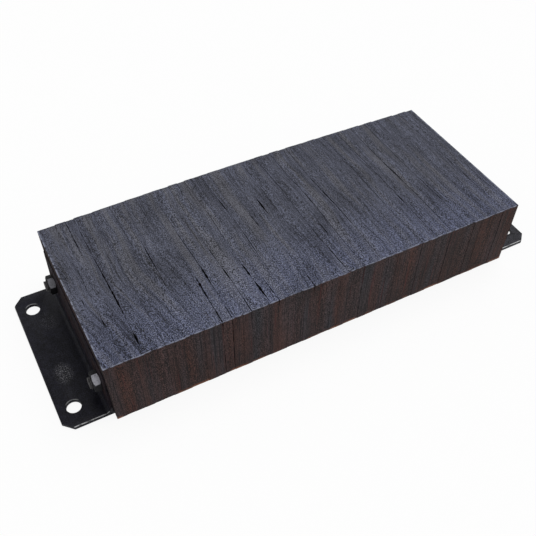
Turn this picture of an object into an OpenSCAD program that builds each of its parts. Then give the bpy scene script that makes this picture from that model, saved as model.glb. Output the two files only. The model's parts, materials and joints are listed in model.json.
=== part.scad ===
/* [Rubber pads] */
// Number of pads in the stack
pad_count = 48; // [20:1:52]
// Length of the stack between the clamping legs
stack_l = 596.9; // [450:0.1:750]
// Height of a pad, along the wall
pad_h = 254; // [245:1:320]
// Depth of a pad, out from the wall
pad_d = 104; // [90:1:140]
// How much longer the stack is along its bumping face
fan_l = 9; // [2:0.5:11]
// How far the foot of a clamping leg presses into the end pad
press = 0.6; // [0.2:0.1:1]
// Greatest change of a pad from the mean thickness
thick_stray = 1.6; // [0:0.1:2]
// Greatest sideways wave of a seam between two pads
seam_wave = 1.2; // [0:0.1:2]
// Full waves of a seam over the height of a pad
waves = 1.25; // [0.5:0.25:2]
// Turn of the wave from one seam to the next, in degrees
wave_step = 41; // [10:1:60]
// Greatest unevenness of a cut pad edge
edge_stray = 0.5; // [0:0.1:3]
// How far the middle pads stand out past the end pads along the far edge
far_bow = 6; // [0:0.5:8]

/* [Steel angles] */
// Width of the outstanding leg, which lies on the wall
wall_leg = 63.5; // [55:0.5:90]
// Height of the clamping leg, which stands against the pads
clamp_leg = 76.2; // [72:0.1:85]
// Thickness of both legs
leg_t = 4.76; // [4:0.01:10]
// Length of an angle
angle_l = 234.95; // [215:0.05:240]
// Radius of the rolled fillet between the legs
root_r = 6.35; // [2:0.05:9]
// Radius of the rolled edge at the end of each leg
toe_r = 2.4; // [1:0.1:3.8]
// Size of the cut corners of the outstanding leg
corner_cut = 12.7; // [3:0.1:16]

/* [Anchor holes] */
// Diameter of an anchor hole
anchor_d = 19.05; // [14:0.05:24]
// Distance from an anchor hole's middle to the outer edge of its leg
anchor_edge = 21; // [16:0.1:26]
// Distance between the two anchor holes of an angle
anchor_pitch = 176; // [120:0.1:180]

/* [Tie rods] */
// Diameter of a tie rod
rod_d = 15.88; // [12:0.01:20]
// Distance between the two tie rods
rod_pitch = 177.8; // [150:0.1:182]
// Height of the tie rods above the wall
rod_z = 38.1; // [34:0.1:46]
// Length of a rod that stands out past its nut
rod_stub = 4; // [1:0.5:12]
// Bevel at the ends of a rod
rod_bevel = 1.2; // [0.2:0.1:2]
// Room between a rod and the hole that it passes through, on the radius
rod_gap = 0.3; // [0.2:0.05:1]

/* [Nuts and welds] */
// Width of a nut across its flats
nut_flats = 23.8; // [20:0.1:30]
// Thickness of a nut
nut_t = 9.5; // [7:0.1:17]
// Angle that the near nut stopped at
near_nut_turn = 0; // [0:1:59]
// Angle that the far nut stopped at
far_nut_turn = 54; // [0:1:59]
// Width and height of the weld fillet round a rod
weld_leg = 6; // [4:0.5:9]
// Slope of the bevel on the corners of a nut, in degrees
nut_bevel = 30; // [20:1:40]

/* [Hidden] */
// A round is drawn with this many sides
$fn = 64;
// A cut reaches this far past the face that it starts from
over = 1;
// Straight strips that one wavy seam is made of, along the height of a pad
strips = 6;
// Steps between pads, in degrees, that spread their unevenness without a pattern
spread_steps = [137.5, 99.3, 222.1, 163.7];
// The bevel of a nut begins at this share of its width across the flats
bevel_share = 0.96;
// Degrees between the starting points of the kinds of unevenness
kind_step = 60;

mean_t = stack_l / pad_count;
rod_hole_d = rod_d + 2 * rod_gap;
hole_x = stack_l / 2 + wall_leg - anchor_edge;
clamp_face_x = stack_l / 2 + leg_t;
rod_nut_end_x = -(clamp_face_x + nut_t + rod_stub);
rod_weld_end_x = clamp_face_x + weld_leg;

pad_names = [for (i = [1 : pad_count]) str("pad_", i < 10 ? "0" : "", i)];
steel_names = [
    "nut_end_angle", "weld_end_angle", "near_tie_rod", "far_tie_rod",
    "near_nut", "far_nut", "near_weld", "far_weld"
];

// A value between -1 and 1 for pad i; each kind strays in its own order
function stray(i, kind) = sin(i * spread_steps[kind] + kind_step * kind);

// Where seam i lies along the stack, without its wave; the first and last seams are the ends of the stack
function seam_base(i) =
    (i == 0 || i == pad_count) ? -stack_l / 2 + i * mean_t
    : -stack_l / 2 + i * mean_t + thick_stray / 2 * stray(i, 0);

// The wave of seam i at height y; it fades towards the flat ends of the stack
function seam_shift(i, y) =
    seam_wave * sin(180 * i / pad_count) * sin(360 * waves * y / pad_h + i * wave_step);

// Heights where a seam's straight strips meet
function knot(k) = -pad_h / 2 + pad_h * k / strips;

// Straight between two knots, and on past the outer knots, so that neighbours share one seam
function seam_at(i, y) =
    let (k = max(0, min(strips - 1, floor((y + pad_h / 2) / (pad_h / strips)))))
    let (part = (y - knot(k)) / (knot(k + 1) - knot(k)))
    seam_shift(i, knot(k)) * (1 - part) + seam_shift(i, knot(k + 1)) * part;

// The stack spreads evenly from the wall to the bumping face
function fanned(x, z) = x * (1 + (2 * press + (fan_l - 2 * press) * z / pad_d) / stack_l);

function seam_point(i, y, z) = [fanned(seam_base(i), z) + seam_at(i, y), y, z];

// Edges of pad i: near, far and at the bumping face
function near_edge(i) = -pad_h / 2 - edge_stray * (1 + stray(i, 1)) / 2;
function far_edge(i) =
    pad_h / 2 + far_bow * (1 - pow(2 * (i - 0.5) / pad_count - 1, 2)) + edge_stray * (stray(i, 2) - 1) / 2;
function face_edge(i) = pad_d - edge_stray * (1 + stray(i, 3)) / 2;

// A pad before its rod holes are punched
module pad_blank(i) {
    ys = [near_edge(i), for (k = [1 : strips - 1]) knot(k), far_edge(i)];
    zs = [0, face_edge(i)];
    points = [for (seam = [i - 1, i], y = ys, z = zs) seam_point(seam, y, z)];
    // A corner: 0 or 1 for the pad's two seams, the knot, and 0 or 1 for the wall and the bumping face
    function at(seam, k, j) = (seam * len(ys) + k) * len(zs) + j;
    along = [0 : strips - 1];
    left = [for (k = along) [at(0, k, 0), at(0, k + 1, 0), at(0, k + 1, 1), at(0, k, 1)]];
    right = [for (k = along) [at(1, k, 0), at(1, k, 1), at(1, k + 1, 1), at(1, k + 1, 0)]];
    wall_side = [for (k = along) [at(0, k, 0), at(1, k, 0), at(1, k + 1, 0), at(0, k + 1, 0)]];
    bump_side = [for (k = along) [at(0, k, 1), at(0, k + 1, 1), at(1, k + 1, 1), at(1, k, 1)]];
    near_side = [at(0, 0, 0), at(0, 0, 1), at(1, 0, 1), at(1, 0, 0)];
    far_side = [at(0, strips, 0), at(1, strips, 0), at(1, strips, 1), at(0, strips, 1)];
    polyhedron(points, concat(left, right, wall_side, bump_side, [near_side, far_side]));
}

// A round bar along the stack, from one place to another
module bar(from, to, d) {
    translate([from, 0, 0]) rotate([0, 90, 0]) cylinder(d = d, h = to - from);
}

// Repeats what lies on the stack's middle line at one tie rod: -1 is the near one, 1 the far one
module on_rod(side) {
    translate([0, side * rod_pitch / 2, rod_z]) children();
}

module rod_holes(reach) {
    for (side = [-1, 1]) on_rod(side) bar(-reach, reach, rod_hole_d);
}

// The room that both clamping legs take up at the ends of the stack
module leg_seats() {
    for (side = [-1, 1])
        translate([side * (stack_l + fan_l) / 2, 0, clamp_leg / 2 - over])
        cube([fan_l, angle_l, clamp_leg + 2 * over], center = true);
}

module pad(i) {
    color(i % 2 == 0 ? "#4f5360" : "#474a55")
    difference() {
        pad_blank(i);
        rod_holes(stack_l);
        if (i == 1 || i == pad_count) leg_seats();
    }
}

// The corner that a rolled edge leaves out, at the origin, towards -x and -y
module rolled_off(r) {
    difference() {
        translate([-over, -over]) square(r + over);
        translate([r, r]) circle(r);
    }
}

// Section of an angle: the clamping leg's back on x = 0, the outstanding leg towards +x on y = 0
module angle_section() {
    difference() {
        union() {
            square([wall_leg, leg_t]);
            square([leg_t, clamp_leg]);
            translate([leg_t, leg_t]) square(root_r);
        }
        translate([leg_t + root_r, leg_t + root_r]) circle(root_r);
        translate([wall_leg, leg_t]) rotate(180) rolled_off(toe_r);
        translate([leg_t, clamp_leg]) rotate(180) rolled_off(toe_r);
    }
}

// What is cut from the two outer corners of the outstanding leg
module corner_cuts() {
    for (side = [-1, 1])
        translate([stack_l / 2 + wall_leg, side * angle_l / 2, -over])
        rotate(45)
        translate([-corner_cut / sqrt(2), -corner_cut / sqrt(2), 0])
        cube([corner_cut * sqrt(2), corner_cut * sqrt(2), leg_t + 2 * over]);
}

// The angle at the +x end
module steel_angle() {
    difference() {
        translate([stack_l / 2, angle_l / 2, 0])
        rotate([90, 0, 0])
        linear_extrude(angle_l) angle_section();
        corner_cuts();
        for (side = [-1, 1])
            translate([hole_x, side * anchor_pitch / 2, -over])
            cylinder(d = anchor_d, h = leg_t + 2 * over);
        rod_holes(stack_l);
    }
}

module weld_end_angle() {
    color("#232126") steel_angle();
}

module nut_end_angle() {
    color("#232126") mirror([1, 0, 0]) steel_angle();
}

// Profile of a rod on its axis, turned round it
module rod_profile(l) {
    r = rod_d / 2;
    polygon([
        [0, 0], [r - rod_bevel, 0], [r, rod_bevel],
        [r, l - rod_bevel], [r - rod_bevel, l], [0, l]
    ]);
}

module tie_rod() {
    color("#8d8d94")
    translate([rod_nut_end_x, 0, 0])
    rotate([0, 90, 0])
    rotate_extrude() rod_profile(rod_weld_end_x - rod_nut_end_x);
}

// Outline of a nut turned round its axis, bevelled towards both faces
module nut_round() {
    corner_r = nut_flats / sqrt(3);
    face_r = nut_flats / 2 * bevel_share;
    drop = (corner_r + over - face_r) * tan(nut_bevel);
    polygon([
        [0, 0], [face_r, 0], [corner_r + over, drop],
        [corner_r + over, nut_t - drop], [face_r, nut_t], [0, nut_t]
    ]);
}

module nut(turn) {
    color("#97979f")
    translate([-clamp_face_x, 0, 0])
    rotate([0, -90, 0])
    difference() {
        intersection() {
            rotate(turn) cylinder(d = 2 * nut_flats / sqrt(3), h = nut_t, $fn = 6);
            rotate_extrude() nut_round();
        }
        translate([0, 0, -over]) cylinder(d = rod_hole_d, h = nut_t + 2 * over);
    }
}

// A fillet weld between a rod and the face of the clamping leg
module weld() {
    r = rod_d / 2;
    color("#5f5d63")
    translate([clamp_face_x, 0, 0])
    rotate([0, 90, 0])
    rotate_extrude()
    intersection() {
        translate([r, 0]) square(weld_leg);
        translate([r, 0]) circle(weld_leg);
    }
}

module near_tie_rod() { on_rod(-1) tie_rod(); }
module far_tie_rod() { on_rod(1) tie_rod(); }
module near_nut() { on_rod(-1) nut(near_nut_turn); }
module far_nut() { on_rod(1) nut(far_nut_turn); }
module near_weld() { on_rod(-1) weld(); }
module far_weld() { on_rod(1) weld(); }

for (i = [1 : pad_count])
    pad(i);
nut_end_angle();
weld_end_angle();
near_tie_rod();
far_tie_rod();
near_nut();
far_nut();
near_weld();
far_weld();
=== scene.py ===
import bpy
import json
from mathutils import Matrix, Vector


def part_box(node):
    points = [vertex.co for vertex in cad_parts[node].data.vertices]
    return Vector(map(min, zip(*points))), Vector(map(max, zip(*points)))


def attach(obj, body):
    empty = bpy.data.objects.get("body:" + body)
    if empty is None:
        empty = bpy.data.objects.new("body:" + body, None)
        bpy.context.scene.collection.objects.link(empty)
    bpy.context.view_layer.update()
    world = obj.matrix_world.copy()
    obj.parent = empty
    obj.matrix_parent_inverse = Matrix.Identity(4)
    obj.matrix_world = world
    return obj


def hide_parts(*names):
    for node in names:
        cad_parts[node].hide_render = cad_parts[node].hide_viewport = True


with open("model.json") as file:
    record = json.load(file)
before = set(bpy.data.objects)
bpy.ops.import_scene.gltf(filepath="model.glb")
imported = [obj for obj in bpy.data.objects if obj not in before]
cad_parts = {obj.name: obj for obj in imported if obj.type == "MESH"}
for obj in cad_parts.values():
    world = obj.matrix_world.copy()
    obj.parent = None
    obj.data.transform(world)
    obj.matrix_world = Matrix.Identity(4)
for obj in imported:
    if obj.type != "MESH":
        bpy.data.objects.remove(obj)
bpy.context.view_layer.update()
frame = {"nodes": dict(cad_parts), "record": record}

import functools
import json
import math
from types import SimpleNamespace

import bmesh
import bpy
import numpy as np
from bpy.props import FloatProperty, FloatVectorProperty, IntProperty, PointerProperty
from mathutils import Matrix, Vector

bl_info = {
    "name": "Laminated Dock Bumper",
    "version": (1, 0, 0),
    "blender": (4, 5, 0),
    "location": "3D View > Sidebar > Dock Bumper",
    "description": "Dresses the solids of a laminated dock bumper with worn, finished pieces",
    "category": "Object",
}

NODES = frame["nodes"]


def corners_of(name):
    """Corners of a solid's mesh"""
    return np.array([tuple(vertex.co) for vertex in NODES[name].data.vertices])


# Places taken from the solids, in metres
PAD_NODES = sorted(name for name in NODES if name.startswith("pad_"))
SIDES = ("near", "far")
LEG_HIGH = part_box("nut_end_angle")[1]
CLAMP_TOP = LEG_HIGH.z
CLAMP_Y = LEG_HIGH.y
STACK_END = abs(LEG_HIGH.x)
ROD_LOW, ROD_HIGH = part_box("near_tie_rod")
ROD_RADIUS = (ROD_HIGH.z - ROD_LOW.z) / 2
ROD_Z = (ROD_HIGH.z + ROD_LOW.z) / 2
ROD_Y = -(ROD_HIGH.y + ROD_LOW.y) / 2

# Points closer together than this are one point
TOUCH = 0.00002

# Rubber over the edges of a clamping leg swells out again within this height
LEDGE = 0.0025

# How far a pad's values reach: an opening from its seam, a groove and the lumps
# from the outer skin, flat rubber above the wall, and the shade in a gap
SEAM_REACH = 0.003
GROOVE_FADE = 0.006
LUMP_FADE = 0.002
WALL_FADE = 0.005
SHADE_DEPTH = 0.0015

# The bumping face's end edges take the worn edge and its painted highlight as at this distance from its
# near edge
END_WEAR_AND_LIGHT = 0.0003

# The stack spreads from its foot to its bumping face
END_PAD = corners_of(PAD_NODES[0])
FACE_Z = float(END_PAD[:, 2].max())
FACE_REACH = float(-END_PAD[:, 0].min())
FOOT_REACH = float(-END_PAD[END_PAD[:, 2] < TOUCH, 0].min())
FOOT_SHARE = FOOT_REACH / FACE_REACH
PAD_PITCH = 2 * FACE_REACH / len(PAD_NODES)

# Seams that gape on the bumping face: the pad left of the seam, the y where
# the gap starts, the y where it ends, and its widest opening
FACE_GAPS = (
    (1, -0.014, -0.037, 0.0008),
    (2, -0.052, -0.070, 0.0009),
    (3, 0.132, 0.058, 0.0012),
    (4, 0.113, 0.052, 0.0008),
    (4, 0.046, -0.069, 0.0018),
    (4, -0.089, -0.116, 0.0020),
    (9, 0.051, -0.045, 0.0010),
    (12, -0.046, -0.086, 0.0030),
    (12, -0.080, -0.112, 0.0010),
    (12, -0.102, -0.134, 0.0025),
    (13, 0.036, -0.048, 0.0010),
    (13, -0.034, -0.064, 0.0026),
    (13, -0.104, -0.150, 0.0010),
    (15, -0.006, -0.030, 0.0012),
    (15, -0.047, -0.070, 0.0018),
    (15, -0.100, -0.150, 0.0010),
    (17, -0.052, -0.079, 0.0025),
    (17, -0.085, -0.121, 0.0027),
    (18, -0.082, -0.124, 0.0013),
    (19, 0.072, 0.050, 0.0013),
    (19, 0.003, -0.042, 0.0013),
    (21, 0.027, 0.000, 0.0014),
    (22, -0.095, -0.138, 0.0012),
    (23, 0.053, 0.013, 0.0018),
    (26, -0.078, -0.114, 0.0011),
    (27, -0.031, -0.056, 0.0015),
    (28, 0.032, 0.000, 0.0011),
    (30, 0.059, -0.008, 0.0011),
    (30, 0.020, -0.055, 0.0013),
    (37, -0.024, -0.050, 0.0013),
    (39, 0.049, -0.021, 0.0011),
    (41, -0.024, -0.069, 0.0007),
)

# Seams that gape on the near side: the pad left of the seam, the z where the
# gap starts, the z where it ends, and its widest opening
NEAR_GAPS = (
    (7, 0.120, 0.090, 0.0012),
    (12, 0.066, -0.010, 0.0010),
    (13, 0.160, -0.010, 0.0011),
    (15, 0.130, 0.072, 0.0012),
    (18, 0.120, 0.094, 0.0013),
)

# Ripples that the saw left on the bumping face: the middle of the patch, how
# far a ripple runs back along y for each step along x, the ripples' pitch, and
# the reach of the patch
SAW_RIPPLES = (
    ((-0.269, -0.098, FACE_Z), 1.4, 0.0082, 0.021),
    ((-0.251, -0.102, FACE_Z), 0.4, 0.0063, 0.017),
)

# Soft dark scores on the bumping face: the x of the score, the y where it
# starts, the y where it ends, how far its end bends along x, and half its width
SAW_SCORES = (
    (-0.193, 0.052, -0.074, 0.016, 0.0024),
    (-0.236, 0.060, -0.035, 0.004, 0.0018),
    (-0.121, 0.075, -0.030, 0.003, 0.0016),
)

# Noises drawn out along the plies: the size of a cell through the plies, along
# y and along z, then detail, roughness and turn
PLY_NOISES = {
    "grain": ((0.0015, 0.0090, 0.0080), 2.0, 0.6, 0.0),
    "flecks": ((0.0006, 0.0015, 0.0011), 0.0, 0.5, 4.0),
    "streaks": ((0.0026, 0.075, 0.060), 3.0, 0.6, 0.0),
    "bands": ((0.009, 0.14, 0.20), 2.0, 0.5, 3.0),
    "cuts": ((0.0028, 0.070, 0.060), 1.0, 0.5, 13.0),
    "pits": ((0.0007, 0.0040, 0.0016), 0.0, 0.5, 6.0),
    "broad": ((0.020, 0.40, 0.22), 2.0, 0.5, 9.0),
    "veins": ((0.0030, 0.20, 0.09), 1.0, 0.5, 15.0),
    "lines": ((0.0016, 0.30, 0.10), 1.0, 0.5, 17.0),
}

# The bumping face turns bluer towards its near edge
NEAR_TINT = (0.95, 1.0, 1.20)

# Places on the nut end's flange where the paint is rubbed, the reach of a rub,
# and how it is squeezed along each axis
RUBBED_SPOTS = ((-0.3365, -0.034, 0.006), (-0.328, 0.059, 0.006))
RUB_REACH = 0.021
RUB_SQUEEZE = Vector((1.45, 0.95, 1.0))

# The way that a nut's lit flank looks: to the near side, and up. It keeps the plating, while painted shade
# lies over the other flanks
LIT_FLANK = (0.0, -0.55, 0.84)

# How much of the plating's brightness each nut keeps, the far nut's darker copy being painted shade, and
# the share of the near-black painted shade that lies over its flanks other than the lit one
NUT_PAINTED_LIGHT = {"near": 0.90, "far": 0.40}
NUT_FLANK_SHADE = 0.97

# Anchor holes in the flanges, from their places in the record
HOLES = next(mount for mount in frame["record"]["mounts"] if mount["name"] == "anchor_holes")["dims"]
HOLE_X = HOLES["spacing_x_mm"] / 2000
HOLE_Y = HOLES["spacing_y_mm"] / 2000
HOLE_RADIUS = HOLES["hole_r_mm"] / 1000

# Vectors that the node trees share
ORIGIN = (0.0, 0.0, 0.0)
ALONG_X = (0.0, math.pi / 2, 0.0)

# Sides of a bore, of a tie rod and of a weld's path
BORE_SIDES = 40
ROD_SIDES = 48
WELD_STEPS = 156

# Rings of a tie rod in one turn of its thread and along its shank, and the
# shares of the pitch that the thread's crest and its flanks take
THREAD_RINGS = 8
SHANK_RINGS = 24
CREST_SHARE = 0.12
FLANK_SHARE = 0.76

# Folds in degrees: flat enough to dissolve, sharp enough to break on an angle
# and on a nut, and sharp enough to shade as an edge on a rod
FLAT_FOLD = 0.4
ANGLE_FOLD = 35.0
NUT_FOLD = 24.0
ROD_FOLD = 32.0

# A pad's edge is shaded sharp past this fold, in radians
PAD_FOLD = 0.35

# Colours of the stage, and the side of the camera's square sensor in millimetres
WHITE = (1.0, 1.0, 1.0, 1.0)
FLOOR_WHITE = (0.92, 0.92, 0.92, 1.0)
SENSOR = 36.0


# Settings

def length_prop(name, description, default, least=0.0):
    """A length in metres"""
    return FloatProperty(
        name=name, description=description, default=default, min=least, subtype="DISTANCE", unit="LENGTH",
    )


def angle_prop(name, description, degrees):
    """An angle, given in degrees and kept in radians"""
    return FloatProperty(
        name=name, description=description, default=math.radians(degrees), subtype="ANGLE", unit="ROTATION",
    )


def colour_prop(name, description, *default):
    """A colour, as linear red, green and blue"""
    return FloatVectorProperty(
        name=name, description=description, default=default, size=3, subtype="COLOR", min=0.0, max=1.0,
    )


def number_prop(name, description, default):
    """A plain number"""
    return FloatProperty(name=name, description=description, default=default, min=0.0)


def count_prop(name, description, default, least=0):
    """A whole number"""
    return IntProperty(name=name, description=description, default=default, min=least)


class PadSettings(bpy.types.PropertyGroup):
    """Sizes and colours of the rubber pads"""

    edge_round: length_prop("Edge round", "Radius of a pad's sawn edges", 0.00008, 0.00005)
    columns: count_prop("Columns", "Grid cells across a pad between its edges", 4, 2)
    rows: count_prop("Rows", "Grid cells along a pad between its edges", 68, 8)
    levels: count_prop("Levels", "Grid cells through a pad between its edges", 18, 6)
    gap_depth: length_prop("Gap depth", "How far an open seam reaches below the surface", 0.022, 0.001)
    groove: length_prop("Seam groove", "Widest groove of a closed seam, on each side of it", 0.00008)
    lump_height: length_prop("Lump height", "How far the saw left the surface uneven", 0.0003)
    lump_size: length_prop("Lump size", "Distance between lumps of the sawn surface", 0.007, 0.001)
    rod_clearance: length_prop("Rod clearance", "Room between a tie rod and the bore of a pad", 0.0003)
    cord_density: number_prop("Cord ends", "Cord ends on each square metre of sawn rubber", 9000.0)
    cord_length: length_prop("Cord length", "Length of the longest frayed cord end", 0.0026, 0.0005)
    cord_width: length_prop("Cord width", "Width of a frayed cord end", 0.00045, 0.00005)
    seed: count_prop("Seed", "Start of the pads' random draws", 11)
    face_dark: colour_prop("Face dark", "Dark plies of the bumping face", 0.004, 0.004, 0.006)
    face_light: colour_prop("Face light", "Light plies of the bumping face", 0.140, 0.150, 0.207)
    face_olive: colour_prop("Face olive", "Tint of the face's brownish plies", 0.95, 0.90, 0.79)
    edge_red: colour_prop("Side red", "Reddish brown pads on the sawn sides", 0.045, 0.020, 0.016)
    edge_grey: colour_prop("Side grey", "Grey pads on the sawn sides", 0.026, 0.025, 0.030)
    vein: colour_prop("Side vein", "Thin dark red veins on the sawn sides", 0.070, 0.012, 0.012)
    side_line: colour_prop("Side line", "Thin dark lines on the sawn sides", 0.006, 0.005, 0.006)
    # Painted shade: a near-black colour laid on the faces that look along x, the two ends of the stack and
    # the walls of open seams
    end_shade: colour_prop("End grime", "Grime on the two ends of the stack", 0.008, 0.005, 0.005)
    seam_dark: colour_prop("Seam", "Dirt in a closed seam", 0.010, 0.010, 0.013)
    # Painted shade: a near-black colour laid inside an open seam, where shade falls
    gap_shade: colour_prop("Gap", "Rubber inside an open seam", 0.003, 0.003, 0.004)
    # Partly wear, partly a painted highlight: the pale blue line along the near and end edges of the
    # bumping face
    worn_and_lit_edge: colour_prop("Worn edge", "Rubbed outer edges of the rubber", 0.26, 0.28, 0.36)
    dust: colour_prop("Red dust", "Reddish dust along the foot of the sawn sides", 0.40, 0.17, 0.09)
    cord_colour: colour_prop("Cord", "Frayed cord ends", 0.36, 0.37, 0.42)


class SteelSettings(bpy.types.PropertyGroup):
    """Sizes and colours of the steel pieces"""

    edge_break: length_prop("Angle edge break", "Width of the broken edges of an angle", 0.0003)
    # Width of the bare metal, which also carries a painted highlight
    worn_and_lit_line: length_prop("Worn line", "Width of bare metal along cuts and round the anchor holes", 0.0018)
    nut_break: length_prop("Nut edge break", "Width of the broken edges of a nut", 0.00035)
    thread_pitch: length_prop("Thread pitch", "Pitch of a rod's thread, 11 to the inch", 0.002309, 0.0005)
    thread_depth: length_prop("Thread depth", "Depth of the tie rod's thread", 0.0013)
    thread_length: length_prop("Thread length", "Thread at the nut end of a tie rod", 0.050, 0.005)
    rod_bevel: length_prop("Rod bevel", "Bevel on both ends of a tie rod", 0.0012)
    weld_ripples: count_prop("Weld ripples", "Ripples round one weld bead", 26, 6)
    weld_ripple_height: length_prop("Ripple height", "Height of a ripple on a weld bead", 0.0005)
    paint: colour_prop("Paint", "Black paint on the angles", 0.0092, 0.0092, 0.0140)
    # This grey also serves as painted light on the weld end's flange
    rubbed_and_lit: colour_prop("Rubbed paint", "Grey scuffs in the paint", 0.16, 0.16, 0.17)
    # Bare metal that also stands for a painted highlight on the flanges' near cuts and the far rims of
    # their holes
    bare: colour_prop("Bare metal", "Worn rims and cuts of the flanges", 0.55, 0.55, 0.56)
    rust: colour_prop("Rust wash", "Reddish film on the clamping legs", 0.030, 0.013, 0.010)
    zinc: colour_prop("Zinc", "Plating of the nuts", 0.74, 0.74, 0.82)
    rod: colour_prop("Rod steel", "Bare steel of the tie rods", 0.09, 0.087, 0.09)


class StageSettings(bpy.types.PropertyGroup):
    """Camera, light and floor"""

    azimuth: angle_prop("Azimuth", "Turn of the camera round the bumper", -28.976)
    elevation: angle_prop("Elevation", "Height of the camera above the floor, as an angle", 46.638)
    roll: angle_prop("Roll", "Tilt of the picture", 1.128)
    distance: length_prop("Distance", "Camera to the origin, along its view", 1.1084)
    slide: FloatVectorProperty(
        name="Slide", description="Origin's place to the right of the picture's middle, and above it",
        default=(0.0195, -0.0029), size=2, subtype="NONE", unit="LENGTH",
    )
    lens: FloatProperty(
        name="Lens", description="Focal length in millimetres on a 36 mm square",
        default=51.134, min=1.0, unit="CAMERA",
    )
    sun_azimuth: angle_prop("Sun azimuth", "Side that the soft key light comes from", 105.0)
    sun_elevation: angle_prop("Sun elevation", "Height of the soft key light", 66.0)
    sun_strength: number_prop("Sun strength", "Strength of the soft key light", 1.75)
    sun_softness: angle_prop("Sun softness", "Width of the soft key light", 45.0)
    sky: number_prop("Sky", "Light from all round", 0.45)
    floor_size: length_prop("Floor size", "Side of the square floor", 12.0, 1.0)
    floor_drop: length_prop("Floor drop", "Room between the floor and the bumper's back", 0.0003)
    floor_glow: FloatProperty(
        name="Floor glow", description="Share of the floor's own white in the picture",
        default=0.90, min=0.0, max=1.0, subtype="FACTOR",
    )


# Node building

class Wire:
    """An output of a node, which sums and other nodes take as it is"""

    def __init__(self, tree, socket):
        self.tree = tree
        self.socket = socket

    def __add__(self, other):
        return calc("ADD", self, other)

    def __sub__(self, other):
        return calc("SUBTRACT", self, other)

    def __rsub__(self, other):
        return calc("SUBTRACT", other, self)

    def __mul__(self, other):
        return calc("MULTIPLY", self, other)

    def __truediv__(self, other):
        return calc("DIVIDE", self, other)

    def __rtruediv__(self, other):
        return calc("DIVIDE", other, self)

    def __abs__(self):
        return calc("ABSOLUTE", self)


def tree_of(values):
    """The node tree of the first wire among some values"""
    return next(value.tree for value in values if isinstance(value, Wire))


def feed(socket, value):
    """Link a socket to a wire, or set its value"""
    if isinstance(value, Wire):
        value.tree.links.new(value.socket, socket)
    else:
        socket.default_value = value


def node(tree, kind, inputs=None, **settings):
    """Add a node, with its settings and its inputs by name or number"""
    made = tree.nodes.new(kind)
    for key, value in settings.items():
        setattr(made, key, value)
    for key, value in (inputs or {}).items():
        feed(made.inputs[key], value)
    return made


def out(tree, kind, inputs=None, output=0, **settings):
    """Add a node and take one of its outputs"""
    return Wire(tree, node(tree, kind, inputs, **settings).outputs[output])


def calc(operation, *values, clamp=False):
    """A sum on numbers, for shaders and for geometry"""
    inputs = dict(enumerate(values))
    return out(tree_of(values), "ShaderNodeMath", inputs, operation=operation, use_clamp=clamp)


def clamped(value):
    """A value held between 0 and 1"""
    return calc("ADD", value, 0.0, clamp=True)


def vector(operation, *values):
    """A sum on vectors, for shaders and for geometry"""
    inputs = dict(enumerate(values))
    output = "Value" if operation in {"LENGTH", "DISTANCE", "DOT_PRODUCT"} else "Vector"
    return out(tree_of(values), "ShaderNodeVectorMath", inputs, output, operation=operation)


def scaled(arrow, factor):
    """A vector times a number"""
    return out(arrow.tree, "ShaderNodeVectorMath", {0: arrow, "Scale": factor}, operation="SCALE")


def split(arrow):
    """The three parts of a vector"""
    parts = node(arrow.tree, "ShaderNodeSeparateXYZ", {0: arrow}).outputs
    return [Wire(arrow.tree, part) for part in parts]


def joined(x, y=0.0, z=0.0):
    """A vector from its three parts"""
    return out(x.tree, "ShaderNodeCombineXYZ", {0: x, 1: y, 2: z})


def spread(value, low, high, to_low=0.0, to_high=1.0):
    """Carry a value softly from one range to another"""
    inputs = dict(enumerate((value, low, high, to_low, to_high)))
    return out(value.tree, "ShaderNodeMapRange", inputs, interpolation_type="SMOOTHSTEP", clamp=True)


def mix(factor, first, second, blend="MIX"):
    """Mix two colours, each a wire or linear red, green and blue"""
    first, second = (
        given if isinstance(given, Wire) else (*given[:3], 1.0) for given in (first, second)
    )
    tree = tree_of((factor, first, second))
    inputs = {0: factor, 6: first, 7: second}
    return out(tree, "ShaderNodeMix", inputs, 2, data_type="RGBA", blend_type=blend)


def noise(place, cell, detail=2.0, roughness=0.5, turn=0.0, dimensions="4D"):
    """Noise with cells of a size in metres: a wire or a number for all axes, or one number for each"""
    if isinstance(cell, Wire):
        cells = scaled(place, 1.0 / cell)
    else:
        cells = vector("DIVIDE", place, cell if isinstance(cell, tuple) else (cell, cell, cell))
    inputs = {"Vector": cells, "Scale": 1.0, "Detail": detail, "Roughness": roughness}
    if dimensions == "4D":
        inputs["W"] = turn
    return out(place.tree, "ShaderNodeTexNoise", inputs, noise_dimensions=dimensions)


def weigh(level, *parts):
    """A level with noises added about their middle, each at its own weight"""
    for value, weight in parts:
        level = calc("MULTIPLY_ADD", value - 0.5, weight, level)
    return level


SOCKET_TYPES = {float: "NodeSocketFloat", int: "NodeSocketInt", tuple: "NodeSocketVector"}


def new_tree(name, kind, inputs, output, output_type):
    """A node group; an input is given by its default or, where it has none, by its socket's type"""
    tree = bpy.data.node_groups.new(name, kind)
    for label, default in inputs.items():
        if isinstance(default, str):
            tree.interface.new_socket(name=label, in_out="INPUT", socket_type=default)
        else:
            socket_type = SOCKET_TYPES[type(default)]
            socket = tree.interface.new_socket(name=label, in_out="INPUT", socket_type=socket_type)
            socket.default_value = default
    tree.interface.new_socket(name=output, in_out="OUTPUT", socket_type=output_type)
    start = tree.nodes.new("NodeGroupInput")
    end = tree.nodes.new("NodeGroupOutput")
    given = {label: Wire(tree, start.outputs[label]) for label in inputs}
    return tree, given, end.inputs[output]


# Shader effects that several finishes share

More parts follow.
